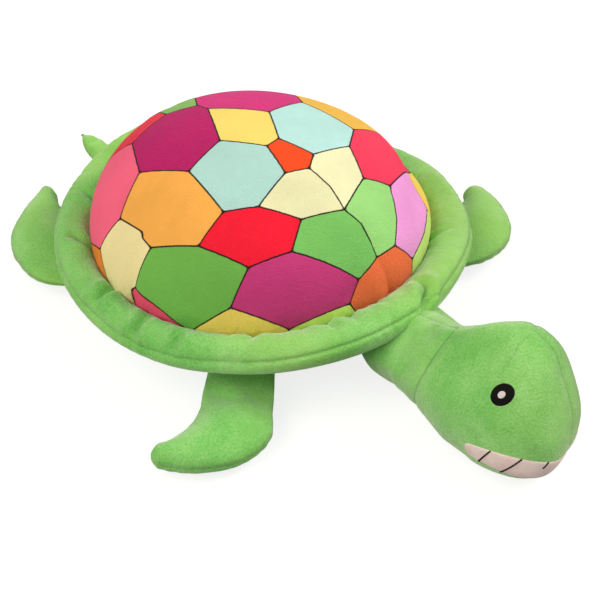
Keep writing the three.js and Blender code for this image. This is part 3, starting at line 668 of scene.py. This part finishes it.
chin_line = [(34, 9), (54, 5), (79, 1.2), (105.8, 0.8), (128.5, 2.8), (146, 10.5), (153.3, 22.5), (156, 36)]
crown_line = [(52, 91.5), (66, 100), (86, 110.5), (108, 115.5), (129.5, 105), (143, 81), (152.6, 58),
              (156, 36)]
cheeks = [33, 35, 39, 48.5, 48, 39.5, 24.5, 0]
head_rings = moved(head_place, side_rings(chin_line, crown_line, cheeks, HEAD_RINGS, egg=0.25, full=0.33))
throat_line = [(-46, 14), (-16, 8), (-4, 8), (13, 8.5), (31, 9)]
neck_line = [(-46, 66), (-16, 69.5), (0, 71.5), (25, 79), (49.5, 90)]
neck_sides = [31, 39, 39.5, 37.5, 33.5]
neck_rings = moved(neck_place, side_rings(throat_line, neck_line, neck_sides, NECK_RINGS, egg=0.3))

# The two bags meet in one smooth bend, with the nape's seam in its middle.
NECK_CUT, HEAD_CUT, BEND = 14, 8, 12
nape = (neck_rings[-1] + head_rings[0]) / 2 + (2, 0, 1)
nape_seam = np.vstack([nape, nape[:1]])
bend = [smooth_line([neck_rings[NECK_CUT, k], nape[k], head_rings[HEAD_CUT, k]], BEND) for k in range(SIDES)]
bend = np.array(bend).transpose(1, 0, 2)
neck_rings = np.concatenate([neck_rings[:NECK_CUT], bend[: BEND // 2 + 1]])
head_rings = np.concatenate([bend[BEND // 2 : BEND], head_rings[HEAD_CUT:]])


def bag(name, rings, tip=True):
    """A stuffed bag from rings of places. The last ring is drawn together where the bag has a tip."""
    count, columns = rings.shape[:2]
    places, faces = rings.reshape(-1, 3), grid_faces(count - tip, columns)
    if tip:
        places = np.vstack([places[: (count - 1) * columns], [places[-1]]])
        last = (count - 2) * columns
        faces += [(last + k, last + (k + 1) % columns, len(places) - 1) for k in range(columns)]
    piece = cloth_piece(name, places, faces, green_plush)
    middle = Vector(places.mean(axis=0) * MM)
    if sum((p.center - middle).dot(p.normal) * p.area for p in piece.data.polygons) < 0:
        piece.data.flip_normals()
    return piece


neck = bag("neck_fabric", neck_rings, tip=False)
held = np.zeros((len(neck_rings), SIDES))
held[:, SIDES // 2] = 0.7
held[[0, -1]] = 1
press_out(neck, held.ravel(), spare=0.015, most=2)
rounded(neck)
sewn(neck, [(neck_rings[:, SIDES // 2], 0.9), (nape_seam, 0.8)], wide=1.9)
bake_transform(neck)
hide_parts("neck_left_panel", "neck_right_panel", "neck_stuffing")

# The steps of the crown's and chin's lines where the middle seam starts and ends, and the ring it holds from.
SEAM_START, CHIN_END, SEAM_HELD = 19, 3, 20
head = bag("head_fabric", head_rings)
held = np.zeros((len(head_rings), SIDES))
held[SEAM_HELD:, [0, SIDES // 2]] = 0.35
held[0] = 1
press_out(head, np.append(held[:-1].ravel(), 1.0), spare=0.012, most=2)
rounded(head)
over_crown = smooth_line(crown_line, HEAD_RINGS)[SEAM_START:]
under_chin = smooth_line(chin_line, HEAD_RINGS)[:CHIN_END:-1]
forward, height = np.vstack([over_crown, under_chin]).T
middle_seam = moved(head_place, np.column_stack([0 * forward, -forward, height]))
brow = np.array([(6, -113, 113.6), (13.4, -109.4, 111.4), (22.6, -107.7, 104.5), (29.4, -105.3, 97),
                 (34.5, -102.2, 89.1)])
brows = [moved(head_place, brow * (side, 1, 1)) for side in (-1, 1)]
sewn(head, [(middle_seam, 1.0), (nape_seam, 0.8)] + [(line, 0.9) for line in brows], wide=1.9)
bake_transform(head)
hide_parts("head_left_panel", "head_right_panel", "head_stuffing")


# Eyes: close satin stitching in black thread, padded up a little from the plush, with a pale stitched glint
# in it. The stitches run along the eye, which is tipped up towards the nose.

EYE_FORWARD, EYE_HEIGHT = 109.3, 80.2
STITCH = 0.7854
BANDS = math.tau / 20  # a wave texture's bands are this far apart at a scale of 1


def stitched(name, colour, lengthwise):
    """Satin stitching: a soft silky gloss over rows of thread. They lie 0.5 mm apart, and are drawn at 0.8 mm
    so that they show."""
    thread = bpy.data.materials.new(name)
    thread.use_nodes = True
    thread.node_tree.nodes.clear()
    spot = node(thread, "ShaderNodeTexCoord").outputs["Object"]
    along = node(thread, "ShaderNodeMapping", {"Vector": spot, "Rotation": lengthwise}).outputs[0]
    rows = node(thread, "ShaderNodeTexWave", {
        "Vector": along, "Scale": BANDS / (STITCH * MM), "Distortion": 1.2, "Detail": 1, "Detail Scale": 3},
        bands_direction="Z").outputs["Fac"]
    shade = node(thread, "ShaderNodeMapRange", {0: rows, 3: 0.7, 4: 1.1})
    dye = node(thread, "ShaderNodeVectorMath", {0: linear(colour)[:3], 3: shade.outputs[0]},
               operation="SCALE")
    raised = node(thread, "ShaderNodeBump", {"Height": rows, "Strength": 0.5, "Distance": 0.4 * MM})
    silk = node(thread, "ShaderNodeBsdfPrincipled", {
        "Base Color": dye.outputs[0], "Normal": raised.outputs[0], "Roughness": 0.75,
        "Specular IOR Level": 0.12})
    node(thread, "ShaderNodeOutputMaterial", {"Surface": silk.outputs[0]})
    return thread


black_stitch = stitched("black_satin_stitch", "#0b0807", (0.5, 0, 0.3))
white_stitch = stitched("white_satin_stitch", "#f1e4e6", (0.5, 0, 0.3))
head_surface = surface_of(head)
head_axes = np.array(head_place)[:3, :3]


def on_head(start, way):
    """Where a way in from outside meets the head, and the way out of the cloth there."""
    spot, out, _, _ = head_surface.ray_cast(Vector(start * MM), Vector(way))
    return np.array(spot) / MM, np.array(out)


def pad_on_head(name, middle, long_axis, sizes, lift, swell, material):
    """A stitched oval on the head. It stands up by a lift and swells to its middle, in mm, and its edge is
    drawn into the plush."""
    spot, out = middle
    long_axis = long_axis - out * (long_axis @ out)
    long_axis /= np.linalg.norm(long_axis)
    short_axis = np.cross(out, long_axis)
    rings, columns = 9, 40
    places, faces = [], grid_faces(rings, columns)
    for share in np.linspace(1, 0.06, rings):
        for turn in np.linspace(0, math.tau, columns, endpoint=False):
            across = long_axis * sizes[0] * math.cos(turn) + short_axis * sizes[1] * math.sin(turn)
            off = -0.6 if share == 1 else lift + swell * (1 - share**2)
            places.append(on_head(spot + 20 * out + share * across, -out)[0] + off * out)
    faces.append([(rings - 1) * columns + k for k in range(columns)])
    pad = cloth_piece(name, places, faces, material)
    if sum(p.normal.dot(Vector(out)) for p in pad.data.polygons) < 0:
        pad.data.flip_normals()
    rounded(pad)
    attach(pad, "head")
    return pad


for name, side in (("right", -1), ("left", 1)):
    outside = moved(head_place, [(side * 90, -EYE_FORWARD, EYE_HEIGHT)])[0]
    middle = on_head(outside, head_axes @ (-side, 0, 0))
    tipped = head_axes @ (-side * 0.29, -0.69, 0.66)
    eye = pad_on_head(f"eye_{name}_stitched", middle, tipped, (10.4, 8.4), 0.35, 0.8, black_stitch)
    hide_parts(f"eye_{name}")
    glint = pad_on_head(f"eye_{name}_glint", middle, tipped, (3.6, 2.9), 1.25, 0.35, white_stitch)
    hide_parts(f"eye_{name}_highlight")


# Teeth: one satin patch sewn round the front of the muzzle, with black stitched lines that part the teeth.
# Both are set out by the angle round the muzzle and by height.

MUZZLE_MIDDLE, MOUTH_END = 96, 104
upper_lip = [(0, 26), (12, 27), (22.3, 29.4), (32.6, 33.3), (42.5, 35.7), (52, 37), (62, 37), (74, 36),
             (86, 33.4), (98, 30), (MOUTH_END, 26.5)]
lower_lip = [(0, 10.5), (20, 11), (35, 12), (50, 13.5), (63.6, 15.8), (74, 17.2), (84.4, 17.4), (93, 17.4),
             (100, 19), (MOUTH_END, 22.5)]


def on_muzzle(angle, height):
    """The place on the head at an angle in degrees round the muzzle, to the right where it is above 0."""
    way = np.array((-math.sin(math.radians(angle)), -math.cos(math.radians(angle)), 0))
    start = moved(head_place, [np.array((0, -MUZZLE_MIDDLE, height)) + 140 * way])[0]
    return on_head(start, -(head_axes @ way))


# Satin: a smooth weave with a soft gloss. Its 0.3 mm threads are drawn at 1 mm, so that they show.
WARP, MOTTLE = 0.98175, 11.11
tooth_satin = bpy.data.materials.new("tooth_satin")
tooth_satin.use_nodes = True
tooth_satin.node_tree.nodes.clear()
spot = node(tooth_satin, "ShaderNodeTexCoord").outputs["Object"]
weave = node(tooth_satin, "ShaderNodeTexWave", {
    "Vector": spot, "Scale": BANDS / (WARP * MM), "Distortion": 2, "Detail": 1}, bands_direction="Z")
# The satin's pink is mottled lighter and darker in soft patches about 11 mm across.
mottle = node(tooth_satin, "ShaderNodeTexNoise", {"Vector": spot, "Scale": 1 / (MOTTLE * MM), "Detail": 2})
ramp = node(tooth_satin, "ShaderNodeValToRGB", {"Fac": mottle.outputs["Fac"]})
for stop, (place, code) in zip(ramp.color_ramp.elements, [(0.3, "#eccfca"), (0.7, "#f9e5e1")]):
    stop.position = place
    stop.color = linear(code)
raised = node(tooth_satin, "ShaderNodeBump",
              {"Height": weave.outputs["Fac"], "Strength": 0.3, "Distance": 0.3 * MM})
surface = node(tooth_satin, "ShaderNodeBsdfPrincipled", {
    "Base Color": ramp.outputs[0], "Normal": raised.outputs[0], "Roughness": 0.5, "Specular IOR Level": 0.35,
    "Sheen Weight": 0.15, "Sheen Roughness": 0.3})
node(tooth_satin, "ShaderNodeOutputMaterial", {"Surface": surface.outputs[0]})

STANDS_OFF = (-0.5, 0.35, 0.65)  # how far the edge, the next row and the rest of the satin lie off the plush
turns = np.concatenate([[-MOUTH_END, -103.2], np.linspace(-102, 102, 129), [103.2, MOUTH_END]])
tops = np.interp(np.abs(turns), *np.transpose(smooth_line(upper_lip, 60)))
feet = np.interp(np.abs(turns), *np.transpose(smooth_line(lower_lip, 60)))
shares = np.concatenate([[0, 0.05], np.linspace(0.12, 0.88, 9), [0.95, 1]])
count, columns = len(shares), len(turns)
places = []
for i, share in enumerate(shares):
    for k, (turn, top, foot) in enumerate(zip(turns, tops, feet)):
        spot, out = on_muzzle(turn, top + (foot - top) * share)
        from_edge = min(i, count - 1 - i, k, columns - 1 - k)
        places.append(spot + out * STANDS_OFF[min(from_edge, 2)])
faces = [(i * columns + k, i * columns + k + 1, (i + 1) * columns + k + 1, (i + 1) * columns + k)
         for i in range(count - 1) for k in range(columns - 1)]
teeth = cloth_piece("teeth_satin", places, faces, tooth_satin)
if sum(p.normal.y for p in teeth.data.polygons) > 0:
    teeth.data.flip_normals()
rounded(teeth)
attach(teeth, "head")
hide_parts("teeth_patch")

THREAD_RADIUS, THREAD_RINGS, THREAD_SIDES = 0.62, 26, 8
black_thread = stitched("black_thread", "#120d0d", (0.5, 0.4, 0.3))
tooth_lines = [((32.4, 33), (36, 27.5)), ((51, 37), (62.8, 16)), ((73.6, 36), (84.4, 17.6))]
for name, side in (("right", 1), ("left", -1)):
    for i, ((a, high), (b, low)) in enumerate(tooth_lines, 1):
        line = [on_muzzle(side * (a + (b - a) * t), high + (low - high) * t)
                for t in np.linspace(0.02, 0.98, THREAD_RINGS)]
        last = THREAD_RINGS - 1
        places = []
        for k, (spot, out) in enumerate(line):
            run = line[min(k + 1, last)][0] - line[max(k - 1, 0)][0]
            aside = np.cross(run / np.linalg.norm(run), out)
            thick = THREAD_RADIUS * (1 + 0.18 * math.sin(2.2 * k)) * (0.5 if k in (0, last) else 1)
            places += [spot + 0.75 * out + thick * (aside * math.cos(t) + out * math.sin(t))
                       for t in np.linspace(0, math.tau, THREAD_SIDES, endpoint=False)]
        faces = grid_faces(THREAD_RINGS, THREAD_SIDES)
        faces += [tuple(range(THREAD_SIDES)), tuple(range(last * THREAD_SIDES, len(places)))[::-1]]
        thread = cloth_piece(f"tooth_line_{name}_{i}_thread", places, faces, black_thread)
        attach(thread, "head")
        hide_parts(f"tooth_line_{name}_{i}")


# Flippers: flat stuffed paddles of an upper and a lower panel, sewn round the edge, the tip hooked back.
# Their roots are caught in the seam under the rim.

PADDLE_RINGS, PADDLE_SIDES, PADDLE_DROOP, PADDLE_BEND = 34, 36, 2, 16


def paddle(length, width, sweep, drawn):
    """The leading and the trailing edge of a paddle, swept back, and its half thickness along it. The tip is
    drawn out further by a share of the length and of the half width."""
    def bent(points):
        turned = []
        for (x, y), share in zip(points, (0, 0, 0, 0.05, 0.25, 0.55, 0.8, 1)):
            x, y = x + share * drawn[0], y + share * drawn[1]
            a = math.radians(sweep) * min(1, 2 * x)
            x, y = x * length, y * width / 2
            turned.append((x * math.cos(a) - y * math.sin(a), x * math.sin(a) + y * math.cos(a)))
        return turned

    leading = bent([(-0.13, -0.9), (0.35, -1.04), (0.66, -1), (0.89, -0.35), (0.985, 0.65), (0.98, 1.5),
                    (0.95, 1.85), (0.87, 2)])
    trailing = bent([(-0.13, 0.9), (0.22, 0.92), (0.42, 0.95), (0.58, 1.15), (0.68, 1.35), (0.76, 1.6),
                     (0.79, 1.85), (0.87, 2)])
    return leading, trailing, [4.5, 8.4, 12.8, 13.5, 12.8, 10.8, 7.4, 0]


def flat_rings(leading, trailing, swell, count, columns):
    """Rings across a flat bag, each from its trailing edge over the top to its leading edge and back."""
    turns = np.linspace(0, math.tau, columns, endpoint=False)
    rings = []
    lines = (smooth_line(line, count) for line in (trailing, leading, swell))
    for back, front, (deep,) in zip(*lines):
        across = (back + front) / 2 + np.cos(turns)[:, None] * (back - front) / 2
        rings.append(np.column_stack([across, max(deep, 0) * np.sin(turns)]))
    return np.array(rings)


def stuffed_limb(name, body, rings):
    """A flat bag with its edge seam, stuffed with its root ring held fast."""
    limb = bag(name, rings)
    columns = rings.shape[1]
    held = np.zeros(rings.shape[:2])
    held[:, [0, columns // 2]] = 0.8
    held[0] = 1
    press_out(limb, np.append(held[:-1].ravel(), 1.0), spare=0.015, most=2)
    rounded(limb)
    edge_seam = np.vstack([rings[:, 0], rings[::-1, columns // 2]])
    sewn(limb, [(edge_seam, 0.5)], wide=1.8, pucker=0.45)
    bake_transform(limb)
    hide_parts(f"{body}_upper_panel", f"{body}_lower_panel", f"{body}_stuffing")


for body, side, hinge, degrees, length, width, sweep, drawn in [
    ("front_left_flipper", 1, (106.2, -81.2, 20), 46, 103, 59, 23, (0, 0)),
    ("front_right_flipper", -1, (109.3, -80.2, 20), 55, 105, 59, -3, (0, 0)),
    ("rear_left_flipper", 1, (92.9, 96.2, 20), 135, 108, 60, 38, (0.25, 0.2)),
    ("rear_right_flipper", -1, (92.9, 96.2, 20), 135, 108, 60, 38, (0.25, 0.2)),
]:
    turned = (Matrix.Diagonal((side, 1, 1, 1)) @ Matrix.Translation(hinge)
              @ Matrix.Rotation(math.radians(degrees - 90), 4, "Z")
              @ Matrix.Rotation(math.radians(PADDLE_DROOP), 4, "Y"))
    rings = flat_rings(*paddle(length, width, sweep, drawn), PADDLE_RINGS, PADDLE_SIDES)
    stuffed_limb(f"{body}_fabric", body, moved(turned, rings))


# Tail: a small pointed bag of two panels, sewn like the flippers. It is caught under the back of the rim and
# points a little up.

TAIL_LENGTH, TAIL_WIDTH, TAIL_RISE, TAIL_BEND = 95, 41, 20, 14
tail_edge = np.array([(-0.13, 0.45), (0.3, 0.48), (0.6, 0.34), (0.85, 0.2), (1, 0)])
tail_edge = tail_edge * (TAIL_LENGTH, TAIL_WIDTH)
raised = (Matrix.Translation((0, 134.9, 24)) @ Matrix.Rotation(math.radians(90), 4, "Z")
          @ Matrix.Rotation(math.radians(-TAIL_RISE), 4, "Y"))
rings = flat_rings(tail_edge * (1, -1), tail_edge, [2.5, 7.4, 8.2, 6.2, 0], 26, 28)
stuffed_limb("tail_fabric", "tail", moved(raised, rings))
